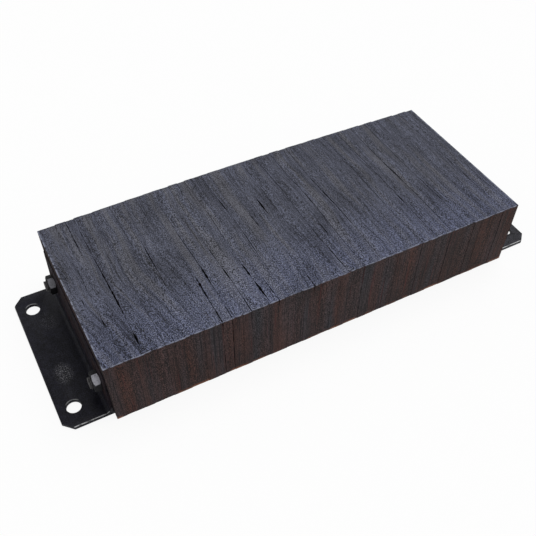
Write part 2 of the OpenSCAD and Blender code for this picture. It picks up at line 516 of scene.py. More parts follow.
def mask_group(name, **defaults):
    """Keep a mask as a shader node group, built once and placed wherever its function is called"""

    def wrap(build):
        @functools.wraps(build)
        def placed(**values):
            group = bpy.data.node_groups.get(name)
            if group is None:
                inputs = {label.title(): default for label, default in defaults.items()}
                group, given, result = new_tree(name, "ShaderNodeTree", inputs, "Mask", "NodeSocketFloat")
                feed(result, build(**{label.lower(): wire for label, wire in given.items()}))
            inputs = {label.title(): value for label, value in {**defaults, **values}.items()}
            return out(tree_of(values.values()), "ShaderNodeGroup", inputs, "Mask", node_tree=group)

        return placed

    return wrap


@mask_group("Fine Speckle", place=ORIGIN, grain=0.001, low=0.35, high=0.65)
def speckle(place, grain, low, high):
    """Fine specks, from 0 to 1"""
    return spread(noise(place, grain, 3.0, 0.65, dimensions="3D"), low, high)


@mask_group("Scuff Patches", place=ORIGIN, patch=0.03, grain=0.001, cover=0.4)
def scuffs(place, patch, grain, cover):
    """Rubbed patches made of fine specks"""
    edge = 1.0 - cover
    wide = spread(noise(place, patch, 4.0, 0.6, dimensions="3D"), edge, edge + 0.25)
    return wide * speckle(place=place, grain=grain, low=0.45, high=0.7)


@mask_group("Soft Spot", place=ORIGIN, centre=ORIGIN, reach=0.02)
def spot(place, centre, reach):
    """A soft round spot about a place"""
    return spread(vector("DISTANCE", place, centre) / reach, 0.35, 1.0, 1.0, 0.0)


# Finishes

def new_finish(name, specular):
    """A material with a Principled shader; gives it, its shader's inputs and its object coordinates"""
    finish = bpy.data.materials.new(name)
    finish.use_nodes = True
    shader = finish.node_tree.nodes["Principled BSDF"].inputs
    shader["Specular IOR Level"].default_value = specular
    return finish, shader, out(finish.node_tree, "ShaderNodeTexCoord", output="Object")


def bump(shader, height, strength, distance):
    """Feed a shader's normal from a height"""
    inputs = {"Strength": strength, "Distance": distance, "Height": height}
    feed(shader["Normal"], out(height.tree, "ShaderNodeBump", inputs))


def attribute(tree, name):
    """A pad's own value, kept on its mesh"""
    return out(tree, "ShaderNodeAttribute", output="Fac", attribute_name=name)


def surface_normal(tree):
    """The way that a surface looks"""
    return out(tree, "ShaderNodeNewGeometry", output="Normal")


def saw_ripples(place, centre, slope, pitch, reach):
    """One patch of the ripples that a stalled saw leaves, from 0 to 1"""
    x, y, _ = split(place)
    along = x * slope + y + noise(place, 0.010) * pitch
    dashes = spread(calc("SINE", along * (math.tau / pitch)), 0.0, 0.8)
    broken = spread(noise(place, 0.008, turn=2.0), 0.36, 0.56)
    return dashes * spot(place=place, centre=centre, reach=reach) * broken


def saw_score(place, at_x, start, end, bend, width):
    """A soft score along y that bends away at its end, from 0 to 1"""
    x, y, _ = split(place)
    way = clamped((y - start) / (end - start))
    line = calc("POWER", way, 5.0) * bend + at_x
    ends = spread(way, 0.0, 0.25) * spread(way, 1.0, 0.6)
    return spread(abs(x - line), width, 0.0) * ends


def ply_place(place):
    """Places counted through the plies, which drift a little and sweep aside at the nut end"""
    x, y, z = split(place)
    drift = weigh(0.0, (noise(joined(x, y), (0.09, 0.08, 0.08), 1.0, turn=11.0), 0.013))
    sweep = spread(y, 0.02, -0.16) * spread(x, -0.10, -0.20)
    through = attribute(place.tree, "ply") * PAD_PITCH + drift - sweep * 0.030
    return joined(through, y, z)


def rubber_marks(place):
    """Noises of the sawn rubber, all but the clouds drawn out along the plies"""
    plies = ply_place(place)
    marks = {label: noise(plies, *values) for label, values in PLY_NOISES.items()}
    return SimpleNamespace(**marks, clouds=noise(place, (0.045, 0.060, 0.060), turn=7.0))


def face_colour(pads, place, marks):
    """Blue grey of the bumping face: streaked along the plies, torn near its near edge, scored"""
    x, y, _ = split(place)
    streaks, bands, clouds = marks.streaks, marks.bands, marks.clouds
    near = spread(y, 0.0, -0.125)
    left = spread(x, 0.20, -0.15, -0.08, 0.22) + spread(x, -0.18, -0.29, 0.0, -0.28)
    torn = clamped(weigh(near * 0.50 + left, (clouds, 0.6), (bands, 0.8), (streaks, 0.6)))

    uneven = weigh(0.0, (bands, 0.70), (clouds, 0.60)) * spread(x, 0.25, -0.15, 0.7, 1.3)
    tone = attribute(place.tree, "tone")
    shade = weigh(0.41, (marks.grain, 1.2), (streaks, 1.1), (tone, 0.04)) + uneven
    shade = shade + (marks.flecks - 0.5) * (torn * 6.0 + 2.0)
    cuts = spread(marks.cuts, 0.64, 0.76)
    plied = streaks + bands * 0.7 - 0.85
    pits = spread(marks.pits, 0.56, 0.72)
    shade = shade - cuts * 0.26 + plied * near * 0.7 - pits * torn * 0.60
    for ripple in SAW_RIPPLES:
        shade = shade - saw_ripples(place, *ripple) * 0.17
    for score in SAW_SCORES:
        shade = shade - saw_score(place, *score) * 0.40

    face = mix(clamped(shade + near * 0.03), pads.face_dark, pads.face_light)
    face = mix(spread(bands, 0.46, 0.64), face, pads.face_olive, "MULTIPLY")
    pale = spread(noise(place, (0.0011, 0.0016, 0.0014), 0.0, turn=5.0), 0.58, 0.74)
    face = mix(pale * spread(torn, 0.0, 1.0, 0.03, 0.90), face, pads.cord_colour)
    return mix(near * 0.8, face, NEAR_TINT, "MULTIPLY")


def side_colour(pads, place, marks):
    """Red brown and grey of the sawn sides: veins and dark lines along the plies, dust along the foot"""
    x, _, z = split(place)
    red = weigh(0.5, (marks.broad, 2.5), (attribute(place.tree, "earth"), 0.1))
    red = clamped(red + spread(x, -0.22, -0.29, 0.0, 0.35))
    red = clamped(red + spread(x, 0.10, 0.20, 0.0, 0.25))
    side = mix(red, pads.edge_grey, pads.edge_red)
    depth = weigh(
        1.0, (marks.streaks, 1.2), (marks.bands, 1.7), (marks.grain, 4.4), (marks.flecks, 8.0),
        (marks.clouds, 1.6),
    )
    depth = depth * spread(x, 0.02, 0.20, 1.0, 0.80)
    side = mix(1.0, side, calc("MAXIMUM", depth, 0.1), "MULTIPLY")
    side = mix(spread(marks.veins, 0.60, 0.78, 0.0, 0.5), side, pads.vein)
    side = mix(spread(marks.lines, 0.58, 0.72, 0.0, 0.85), side, pads.side_line)
    dusty = spread(noise(place, 0.024, 3.0), 0.46, 0.62)
    return mix(spread(z, 0.0050, 0.0005) * dusty * 0.7, side, pads.dust)


def rubber_finish(pads):
    """Sawn laminated rubber with dark seams, worn edges and black gaps"""
    finish, shader, place = new_finish("sawn_rubber", specular=0.14)
    tree = finish.node_tree
    marks = rubber_marks(place)
    sideways, _, upward = split(surface_normal(tree))
    # Painted shade on the faces that look along x, chosen by the way that they face
    endways = spread(abs(sideways), 0.5, 0.9, 0.0, 0.75)
    side = mix(endways, side_colour(pads, place, marks), pads.end_shade)
    colour = mix(spread(upward, 0.45, 0.8), side, face_colour(pads, place, marks))

    seam = spread(attribute(tree, "seam"), 0.0006, 0.0001)
    parted = spread(noise(place, (0.016, 0.07, 0.05)), 0.53, 0.66, 0.0, 0.7)
    colour = mix(seam * parted, colour, pads.seam_dark)
    # Rubbed rubber and a painted highlight along the bumping face's near and end edges
    rubbed_and_lit = spread(attribute(tree, "arris"), 0.0017, 0.0004)
    patchy = spread(noise(place, 0.005), 0.38, 0.60, 0.0, 0.8)
    colour = mix(rubbed_and_lit * patchy, colour, pads.worn_and_lit_edge)
    # Painted shade inside open seams, full from SHADE_DEPTH below the surface
    colour = mix(attribute(tree, "deep"), colour, pads.gap_shade)
    feed(shader["Base Color"], colour)
    feed(shader["Roughness"], weigh(endways * 0.4 + 0.65, (marks.grain, 0.3)))
    height = weigh(0.5, (marks.streaks, 1.0), (marks.grain, 0.5))
    bump(shader, height, strength=0.5, distance=0.0005)
    return finish


def cord_finish(pads):
    """Frayed textile cord"""
    finish, shader, place = new_finish("cord_fibre", specular=0.2)
    specks = speckle(place=place, grain=0.002)
    dusty = [0.35 * part for part in pads.cord_colour]
    feed(shader["Base Color"], mix(specks, dusty, pads.cord_colour))
    feed(shader["Roughness"], specks * 0.1 + 0.8)
    return finish


def worn_and_lit_rims(place, width):
    """Bare metal and a painted highlight on top of a flange: along its near cut, and round the far rims of
    its anchor holes, the edges that face the light
    """
    x, y, z = split(place)
    upward = split(surface_normal(place.tree))[2]
    on_top = spread(upward, 0.4, 0.7) * spread(z, 0.008, 0.006)
    cut = spread(y, width - CLAMP_Y, 0.5 * width - CLAMP_Y)
    along = y - calc("SIGN", y) * HOLE_Y
    from_rim = vector("LENGTH", joined(abs(x) - HOLE_X, along)) - HOLE_RADIUS
    far_half = spread(along, 0.5 * HOLE_RADIUS, HOLE_RADIUS, 0.0, 0.5)
    rim = spread(from_rim, width, 0.5 * width) * far_half
    return on_top * calc("MAXIMUM", cut, rim)


def paint_finish(steel, name="black_paint"):
    """Black paint on rolled steel, mottled, scuffed and dusty, worn to bare metal at its rims with a
    painted highlight there, and lightened by painted light on the weld end's flange
    """
    finish, shader, place = new_finish(name, specular=0.08)
    x, _, z = split(place)
    dust = scuffs(place=place, patch=0.035, grain=0.0012, cover=0.42)
    flat = vector("MULTIPLY", place, RUB_SQUEEZE)
    strong, weak = (
        spot(place=flat, centre=Vector(centre) * RUB_SQUEEZE, reach=RUB_REACH) for centre in RUBBED_SPOTS
    )
    rubs = speckle(place=place, grain=0.0016, low=0.42, high=0.72) * (strong + weak * 0.35)
    # Scuffs and dust, plus painted light: the weld end's flange, past x = 0.30, is made lighter
    wear_and_light = rubs + dust * 0.12 + spread(x, 0.30, 0.33, 0.0, 0.10)
    upright = spread(z, 0.006, 0.02) * spread(abs(x) - STACK_END, 0.016, 0.006)
    film = upright * spread(noise(place, 0.015, 3.0), 0.3, 0.7, 0.0, 0.5)
    colour = mix(film, steel.paint, steel.rust)
    colour = mix(calc("MINIMUM", wear_and_light, 1.0), colour, steel.rubbed_and_lit)
    mottle = weigh(1.0, (noise(place, 0.007, 3.0), 2.6), (noise(place, 0.0016, 1.0), 4.6))
    colour = mix(1.0, colour, calc("MAXIMUM", mottle, 0.25), "MULTIPLY")
    chips = spread(noise(place, 0.006), 0.32, 0.55, 0.2, 0.9)
    # Bare metal with a painted highlight, on the rims that face the light
    colour = mix(worn_and_lit_rims(place, steel.worn_and_lit_line) * chips, colour, steel.bare)
    feed(shader["Base Color"], colour)
    feed(shader["Roughness"], clamped(upright * 0.50 + 0.42 + dust * 0.25))
    height = noise(place, 0.0018) + noise(place, 0.02) * 2.0
    bump(shader, height, strength=0.12, distance=0.0004)
    return finish


def metal_finish(name, colour, specular, roughness, metallic, dirt, painted=0.0):
    """Steel with scratches and grime; painted lays a near-black painted shade over all but the lit flank"""
    finish, shader, place = new_finish(name, specular)
    marks = scuffs(place=place, patch=0.008, grain=0.0006, cover=0.5)
    cloud = noise(place, 0.0035, 3.0)
    dark = [part * 0.35 for part in colour]
    bright = [min(1.0, part * 1.3) for part in colour]
    tint = mix(spread(cloud, 0.45, 0.7) * dirt, colour, dark)
    tint = mix(marks * 0.5, tint, bright)
    # Painted shade: every flank but the lit one is laid near black, by the way that it faces
    if painted:
        towards_flank = vector("DOT_PRODUCT", surface_normal(finish.node_tree), LIT_FLANK)
        flank_shade = spread(weigh(towards_flank, (cloud, 0.15)), 0.94, 0.84, 0.0, painted)
        tint = mix(flank_shade, tint, [part * 0.012 for part in colour])
    feed(shader["Base Color"], tint)
    shader["Metallic"].default_value = metallic
    feed(shader["Roughness"], cloud * 0.25 + roughness)
    bump(shader, marks + cloud, strength=0.15, distance=0.0003)
    return finish


# Meshes

def new_piece(name, mesh):
    """An object of the bumper at the origin"""
    piece = bpy.data.objects.new(name, mesh)
    bpy.context.scene.collection.objects.link(piece)
    return piece


def shade_smooth(mesh):
    """Shade all of a mesh's faces smooth"""
    mesh.polygons.foreach_set("use_smooth", [True] * len(mesh.polygons))


def mesh_of(name, points, faces):
    """A smooth shaded mesh from points and faces"""
    mesh = bpy.data.meshes.new(name)
    mesh.from_pydata(points, [], faces)
    mesh.validate()
    shade_smooth(mesh)
    return mesh


def point_outwards(mesh):
    """Join a closed mesh's double points and turn its faces outwards"""
    form = bmesh.new()
    form.from_mesh(mesh)
    bmesh.ops.remove_doubles(form, verts=form.verts, dist=TOUCH)
    bmesh.ops.recalc_face_normals(form, faces=form.faces)
    form.to_mesh(mesh)
    form.free()


def add_nodes(piece, tree, values):
    """Give a piece a Geometry Nodes modifier with its inputs set"""
    modifier = piece.modifiers.new(tree.name, "NODES")
    modifier.node_group = tree
    for item in tree.interface.items_tree:
        if item.in_out == "INPUT" and item.name in values:
            modifier[item.identifier] = values[item.name]


def settle(pieces):
    """Turn the modifiers of pieces into plain meshes"""
    graph = bpy.context.evaluated_depsgraph_get()
    made = {
        piece: bpy.data.meshes.new_from_object(
            piece.evaluated_get(graph), preserve_all_data_layers=True, depsgraph=graph
        )
        for piece in pieces
    }
    for piece, mesh in made.items():
        old = piece.data
        piece.modifiers.clear()
        piece.data = mesh
        mesh.name = piece.name
        bpy.data.meshes.remove(old)


def hand_over(piece, slot, *replaced):
    """Attach a finished piece to the root body, and hide the solids that it replaces"""
    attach(piece, "root")
    if replaced:
        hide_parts(*replaced)


def solid_copy(name, source):
    """A copy of a solid's mesh with its corners joined and its flat faces whole"""
    form = bmesh.new()
    form.from_mesh(NODES[source].data)
    bmesh.ops.remove_doubles(form, verts=form.verts, dist=TOUCH)
    flat = math.radians(FLAT_FOLD)
    bmesh.ops.dissolve_limit(form, angle_limit=flat, verts=form.verts, edges=form.edges)
    mesh = bpy.data.meshes.new(name)
    form.to_mesh(mesh)
    form.free()
    shade_smooth(mesh)
    return new_piece(name, mesh)


def dress_solid(name, source, finish, slot, edge_width, edge_angle):
    """Put a finished copy with bevelled edges in a solid's place"""
    piece = solid_copy(name, source)
    piece.data.materials.append(finish)
    piece.data.polygons.foreach_set("material_index", [0] * len(piece.data.polygons))
    modifier = piece.modifiers.new("Broken edges", "BEVEL")
    modifier.width = edge_width
    modifier.segments = 2
    modifier.limit_method = "ANGLE"
    modifier.angle_limit = math.radians(edge_angle)
    modifier.harden_normals = True
    settle([piece])
    hand_over(piece, slot, source)


# Parts of the Geometry Nodes trees

def shape_tree(name, inputs):
    """A Geometry Nodes tree that takes geometry, inputs of its own and a material, and gives geometry"""
    inputs = {"Geometry": "NodeSocketGeometry", **inputs, "Material": "NodeSocketMaterial"}
    return new_tree(name, "GeometryNodeTree", inputs, "Geometry", "NodeSocketGeometry")


def named_value(tree, name):
    """A value kept on the mesh"""
    return out(tree, "GeometryNodeInputNamedAttribute", {"Name": name}, "Attribute", data_type="FLOAT")


def place_and_normal(tree):
    """A point's place, and the way that the surface looks there"""
    return out(tree, "GeometryNodeInputPosition"), out(tree, "GeometryNodeInputNormal")


def shaded(geometry, smooth, domain, **selection):
    """Geometry shaded smooth or sharp, by its faces or its edges"""
    inputs = {0: geometry, "Shade Smooth": smooth, **selection}
    return out(geometry.tree, "GeometryNodeSetShadeSmooth", inputs, domain=domain)


def moved_to(geometry, place):
    """Geometry turned from the z axis to the x axis, and carried to a place"""
    inputs = {"Geometry": geometry, "Translation": place, "Rotation": ALONG_X}
    return out(geometry.tree, "GeometryNodeTransform", inputs)


def end_tree(geometry, material, result):
    """End a tree with real geometry and its material"""
    tree = geometry.tree
    real = out(tree, "GeometryNodeRealizeInstances", {0: geometry})
    feed(result, out(tree, "GeometryNodeSetMaterial", {"Geometry": real, "Material": material}))
    return tree


# Rubber pads

def soften(low, high, values):
    """A soft step from 0 at low to 1 at high"""
    share = np.clip((values - low) / (high - low), 0.0, 1.0)
    return share * share * (3.0 - 2.0 * share)


def smooth_line(at, ys, xs):
    """A smooth curve through points of a seam, read at given heights"""
    slopes = np.gradient(xs, ys)
    cell = np.clip(np.searchsorted(ys, at) - 1, 0, len(ys) - 2)
    span = ys[cell + 1] - ys[cell]
    t = (at - ys[cell]) / span
    return (
        xs[cell] * (1 + 2 * t) * (1 - t) ** 2
        + slopes[cell] * span * t * (1 - t) ** 2
        + xs[cell + 1] * t * t * (3 - 2 * t)
        + slopes[cell + 1] * span * t * t * (t - 1)
    )


class PadForm:
    """The shape of one pad's solid: its box and its two seams"""

    def __init__(self, name):
        points = corners_of(name)
        self.low = points.min(axis=0)
        self.high = points.max(axis=0)
        ring = points[points[:, 2] > self.high[2] - TOUCH]
        middle = (ring[:, 0].min() + ring[:, 0].max()) / 2
        self.seams = []
        for part in (ring[ring[:, 0] < middle], ring[ring[:, 0] >= middle]):
            ys, first = np.unique(np.round(part[:, 1], 6), return_index=True)
            self.seams.append((ys, part[first, 0]))
        self.thickness = self.seams[1][1].mean() - self.seams[0][1].mean()

    def edge(self, side, y, z):
        """Where the left or the right seam lies"""
        lift = (z - self.low[2]) / (self.high[2] - self.low[2])
        return smooth_line(y, *self.seams[side]) * (FOOT_SHARE + (1.0 - FOOT_SHARE) * lift)


def grid_lines(length, round_r, cells, extra=(), crowd=1.0):
    """Offsets of grid lines over a length, close together at its two edges, with some extra lines"""
    share = np.linspace(0.0, 1.0, cells + 1)
    inner = round_r + (length - 2 * round_r) * (1.0 - (1.0 - share) ** crowd)
    edge = np.array([0.0, 0.45 * round_r])
    return np.sort(np.concatenate([edge, inner, length - edge[::-1], extra]))


@functools.lru_cache
def box_skin(counts):
    """Grid places on the skin of a box, and its faces"""
    ids = np.full(counts, -1)
    skin = np.ones(counts, dtype=bool)
    skin[1:-1, 1:-1, 1:-1] = False
    ids[skin] = np.arange(skin.sum())

    def sheet(plane, turned):
        faces = np.stack([plane[:-1, :-1], plane[1:, :-1], plane[1:, 1:], plane[:-1, 1:]], axis=-1)
        faces = faces.reshape(-1, 4)
        return faces[:, ::-1] if turned else faces

    faces = np.concatenate([
        sheet(ids[0], True), sheet(ids[-1], False),
        sheet(ids[:, 0], False), sheet(ids[:, -1], True),
        sheet(ids[:, :, 0], True), sheet(ids[:, :, -1], False),
    ])
    return np.argwhere(skin), faces.tolist()


def rounded(offsets, sizes, round_r):
    """Offsets in a box, with its edges rounded"""
    inner = np.clip(offsets, round_r, sizes - round_r)
    reach = offsets - inner
    length = np.linalg.norm(reach, axis=1, keepdims=True)
    return inner + np.where(length > 0, reach / np.maximum(length, 1e-9) * round_r, 0.0)


def gape(along, start, end):
    """How wide a gap is along its length: 0 at its ends, 1 in its middle"""
    share = (along - start) / (end - start)
    return np.clip(4.0 * share * (1.0 - share), 0.0, 1.0) ** 0.7


def seam_opening(seam, y, z, from_near, from_face, depth):
    """Width of the gap in a seam at points of it"""
    width = np.zeros_like(y)
    for gaps, along, below in ((FACE_GAPS, y, from_face), (NEAR_GAPS, z, from_near)):
        wedge = np.clip(1.0 - below / depth, 0.0, 1.0)
        for number, start, end, widest in gaps:
            if number == seam:
                width = np.maximum(width, widest * gape(along, start, end) * wedge)
    return width


def leg_seat(points):
    """Press the foot of an end pad back to the clamping leg"""
    x, y, z = points.T
    wide = 1.0 - soften(CLAMP_Y, CLAMP_Y + LEDGE, np.abs(y))
    tall = 1.0 - soften(CLAMP_TOP, CLAMP_TOP + LEDGE, z)
    proud = np.maximum(np.abs(x) - STACK_END, 0.0)
    points[:, 0] -= np.sign(x) * proud * wide * tall


def pad_mesh(pads, number, tone, earth):
    """One pad's grid, shaped to its solid, with the values that its nodes and finish read"""
    name = PAD_NODES[number - 1]
    form = PadForm(name)
    r = pads.edge_round
    sizes = np.array([form.thickness, form.high[1] - form.low[1], form.high[2] - form.low[2]])
    leg_ends = np.array([-CLAMP_Y - LEDGE, -CLAMP_Y, CLAMP_Y, CLAMP_Y + LEDGE]) - form.low[1]
    leg_top = np.array([CLAMP_TOP, CLAMP_TOP + LEDGE]) - form.low[2]
    lines = (
        grid_lines(sizes[0], r, pads.columns),
        grid_lines(sizes[1], r, pads.rows, leg_ends),
        grid_lines(sizes[2], r, pads.levels, leg_top, crowd=1.35),
    )
    places, faces = box_skin(tuple(len(line) for line in lines))
    offsets = np.stack([line[places[:, axis]] for axis, line in enumerate(lines)], axis=1)
    soft = rounded(offsets, sizes, r)
    y = form.low[1] + soft[:, 1]
    z = form.low[2] + soft[:, 2]
    left = form.edge(0, y, z)
    right = form.edge(1, y, z)
    across = soft[:, 0] / form.thickness
    points = np.stack([left + (right - left) * across, y, z], axis=1)

    first = number == 1
    last = number == len(PAD_NODES)
    if first or last:
        leg_seat(points)
    from_left, from_near, from_wall = offsets.T
    from_right, from_far, from_face = (sizes - offsets).T
    outer = np.minimum(np.minimum(from_near, from_far), from_face)
    far_away = np.full(len(points), 1.0)
    from_end = from_left if first else from_right if last else far_away
    from_seam = np.minimum(far_away if first else from_left, far_away if last else from_right)
    on_left = (1.0 - soften(r, r + SEAM_REACH, from_left)) * (not first)
    on_right = (1.0 - soften(r, r + SEAM_REACH, from_right)) * (not last)
    open_left = seam_opening(number - 1, y, z, from_near, from_face, pads.gap_depth)
    open_right = seam_opening(number, y, z, from_near, from_face, pads.gap_depth)
    above_leg = soften(CLAMP_TOP + LEDGE, CLAMP_TOP + 2 * LEDGE, z)
    free = np.where(from_end < r, above_leg, 1.0)
    lumpy = np.exp(-np.minimum(from_end, outer) / LUMP_FADE)
    values = {
        "open": (open_left * on_left - open_right * on_right) / 2,
        "side": on_right - on_left,
        "rim": np.exp(-outer / GROOVE_FADE),
        "skin": lumpy * soften(0.0, WALL_FADE, from_wall) * free,
        # deep: the mask of the painted shade inside an open seam
        "deep": np.maximum(on_left, on_right) * soften(0.0, SHADE_DEPTH, outer),
        # arris: distance to the edges that take the worn edge and its painted highlight
        "arris": np.minimum(from_near, 0.5 * from_end + END_WEAR_AND_LIGHT) + from_face,
        "seam": from_seam,
        "ply": number - 1 + across,
        "tone": np.full(len(points), tone),
        "earth": np.full(len(points), earth),
    }
    mesh = mesh_of(f"rubber_{name}", points.tolist(), faces)
    for label, data in values.items():
        layer = mesh.attributes.new(label, "FLOAT", "POINT")
        layer.data.foreach_set("value", data.astype(np.float32))
    return mesh


def pad_tree():
    """Geometry Nodes that saw a pad's skin, open its seams and bore it for the rods"""
    inputs = {
        "Lump Height": 0.0004,
        "Lump Size": 0.007,
        "Groove": 0.0004,
        "Seed": 0,
        "Bore Radius": 0.0098,
        "Bore Length": 1.0,
        "Near Bore": ORIGIN,
        "Far Bore": ORIGIN,
    }
    tree, given, result = shape_tree("Sawn Pad", inputs)
    place, normal = place_and_normal(tree)
    lumps = noise(place, given["Lump Size"], 3.0, turn=given["Seed"] * 0.08)
    height = (lumps * 2.0 - 1.44) * given["Lump Height"] * named_value(tree, "skin")
    skin = vector("MULTIPLY", scaled(normal, height), (0.0, 1.0, 1.0))

    parted = spread(noise(place, (0.05, 0.022, 0.022), 3.0, 0.6), 0.52, 0.70)
    groove = parted * given["Groove"] * named_value(tree, "rim") * named_value(tree, "side")
    ragged = spread(noise(place, 0.008), 0.30, 0.70, 0.10, 1.60)
    sideways = joined(named_value(tree, "open") * ragged - groove)
    sawn = out(
        tree, "GeometryNodeSetPosition",
        {"Geometry": given["Geometry"], "Offset": vector("ADD", skin, sideways)},
    )

    drill = out(
        tree, "GeometryNodeMeshCylinder",
        {"Vertices": BORE_SIDES, "Radius": given["Bore Radius"], "Depth": given["Bore Length"]},
        "Mesh", fill_type="NGON",
    )
    drills = node(tree, "GeometryNodeJoinGeometry")
    for label in ("Near Bore", "Far Bore"):
        feed(drills.inputs[0], moved_to(drill, given[label]))
    bored = out(
        tree, "GeometryNodeMeshBoolean", {"Mesh 1": sawn, "Mesh 2": Wire(tree, drills.outputs[0])},
        "Mesh", operation="DIFFERENCE", solver="MANIFOLD",
    )
    fold = out(tree, "GeometryNodeInputMeshEdgeAngle")
    sharp = out(tree, "FunctionNodeCompare", {0: fold, 1: PAD_FOLD}, operation="GREATER_THAN")
    smooth = shaded(bored, True, "FACE")
    return end_tree(shaded(smooth, False, "EDGE", Selection=sharp), given["Material"], result)


class BUMPER_OT_rubber_pads(bpy.types.Operator):
    """Build the laminated rubber pads"""

    bl_idname = "bumper.rubber_pads"
    bl_label = "Rubber Pads"

    def execute(self, context):
        pads = context.scene.bumper_pads
        draws = np.random.default_rng(pads.seed)
        tones = draws.uniform(0.0, 1.0, len(PAD_NODES))
        earths = draws.uniform(0.0, 1.0, len(PAD_NODES))
        tree = pad_tree()
        finish = rubber_finish(pads)
        pile = bpy.data.collections.new("rubber_pads")
        made = {}
        for number, name in enumerate(PAD_NODES, start=1):
            mesh = pad_mesh(pads, number, tones[number - 1], earths[number - 1])
            piece = new_piece(f"rubber_{name}", mesh)
            pile.objects.link(piece)
            add_nodes(piece, tree, {
                "Lump Height": pads.lump_height,
                "Lump Size": pads.lump_size,
                "Groove": pads.groove,
                "Seed": number,
                "Bore Radius": ROD_RADIUS + pads.rod_clearance,
                "Bore Length": 4 * STACK_END,
                "Near Bore": (0.0, -ROD_Y, ROD_Z),
                "Far Bore": (0.0, ROD_Y, ROD_Z),
                "Material": finish,
            })
            made[name] = piece
        settle(made.values())
        for name, piece in made.items():
            hand_over(piece, "pad_rubber", name)
        return {"FINISHED"}


def cord_tree():
    """Geometry Nodes that scatter frayed cord ends over the bumping face"""
    inputs = {
        "Pads": "NodeSocketCollection",
        "Density": 2000.0,
        "Length": 0.004,
        "Width": 0.0003,
        "Near Edge": -0.127,
        "Seed": 0,
    }
    tree, given, result = shape_tree("Cord Ends", inputs)
    seed = given["Seed"]
    source = out(
        tree, "GeometryNodeCollectionInfo", {"Collection": given["Pads"]}, transform_space="RELATIVE"
    )
    rubber = out(tree, "GeometryNodeRealizeInstances", {0: source})
    place, normal = place_and_normal(tree)
    upward = calc("GREATER_THAN", split(normal)[2], 0.9)
    bare = calc("LESS_THAN", named_value(tree, "deep"), 0.02)
    from_near = split(place)[1] - given["Near Edge"]
    crowded = spread(from_near, 0.0, 0.07, 1.0, 0.12)
    tufts = spread(noise(place, 0.02), 0.42, 0.65)
    points = node(
        tree, "GeometryNodeDistributePointsOnFaces",
        {"Mesh": rubber, "Density": crowded * upward * bare * tufts * given["Density"], "Seed": seed},
        distribute_method="RANDOM",
    ).outputs

    ends = {"Start": (-0.5, 0.0, 0.0), "End": (0.5, 0.0, 0.0)}
    line = out(tree, "GeometryNodeCurvePrimitiveLine", ends)
    parts = out(tree, "GeometryNodeResampleCurve", {"Curve": line, "Count": 4})
    section = out(tree, "GeometryNodeCurvePrimitiveCircle", {"Resolution": 4, "Radius": 0.5})
    fibre = out(
        tree, "GeometryNodeCurveToMesh", {"Curve": parts, "Profile Curve": section, "Fill Caps": True}
    )
    turn = out(
        tree, "FunctionNodeRandomValue",
        {"Min": (-0.15, -0.35, -1.2), "Max": (0.15, 0.35, 1.2), "Seed": seed}, data_type="FLOAT_VECTOR",
    )
    share = out(tree, "FunctionNodeRandomValue", {2: 0.25, 3: 1.0, "Seed": seed}, 1, data_type="FLOAT")
    size = joined(share * given["Length"], given["Width"], given["Width"])
    scattered = out(
        tree, "GeometryNodeInstanceOnPoints",
        {
            "Points": Wire(tree, points["Points"]),
            "Instance": fibre,
            "Rotation": Wire(tree, points["Rotation"]),
            "Scale": size,
        },
    )
    turned = out(
        tree, "GeometryNodeRotateInstances",
        {"Instances": scattered, "Rotation": turn, "Local Space": True},
    )
    return end_tree(turned, given["Material"], result)


class BUMPER_OT_cord_ends(bpy.types.Operator):
    """Scatter the frayed cord ends of the sawn rubber"""

    bl_idname = "bumper.cord_ends"
    bl_label = "Cord Ends"

    def execute(self, context):
        pads = context.scene.bumper_pads
        piece = new_piece("cord_ends", bpy.data.meshes.new("cord_ends"))
        add_nodes(piece, cord_tree(), {
            "Pads": bpy.data.collections["rubber_pads"],
            "Density": pads.cord_density,
            "Length": pads.cord_length,
            "Width": pads.cord_width,
            "Near Edge": min(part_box(name)[0].y for name in PAD_NODES),
            "Seed": pads.seed,
            "Material": cord_finish(pads),
        })
        settle([piece])
        hand_over(piece, "pad_rubber")
        return {"FINISHED"}


# Steel pieces

class BUMPER_OT_angles(bpy.types.Operator):
    """Finish the two steel angles"""

    bl_idname = "bumper.angles"
    bl_label = "Steel Angles"

    def execute(self, context):
        steel = context.scene.bumper_steel
        finish = paint_finish(steel)
        for source in ("nut_end_angle", "weld_end_angle"):
            dress_solid(f"painted_{source}", source, finish, "angle_paint", steel.edge_break, ANGLE_FOLD)
        return {"FINISHED"}


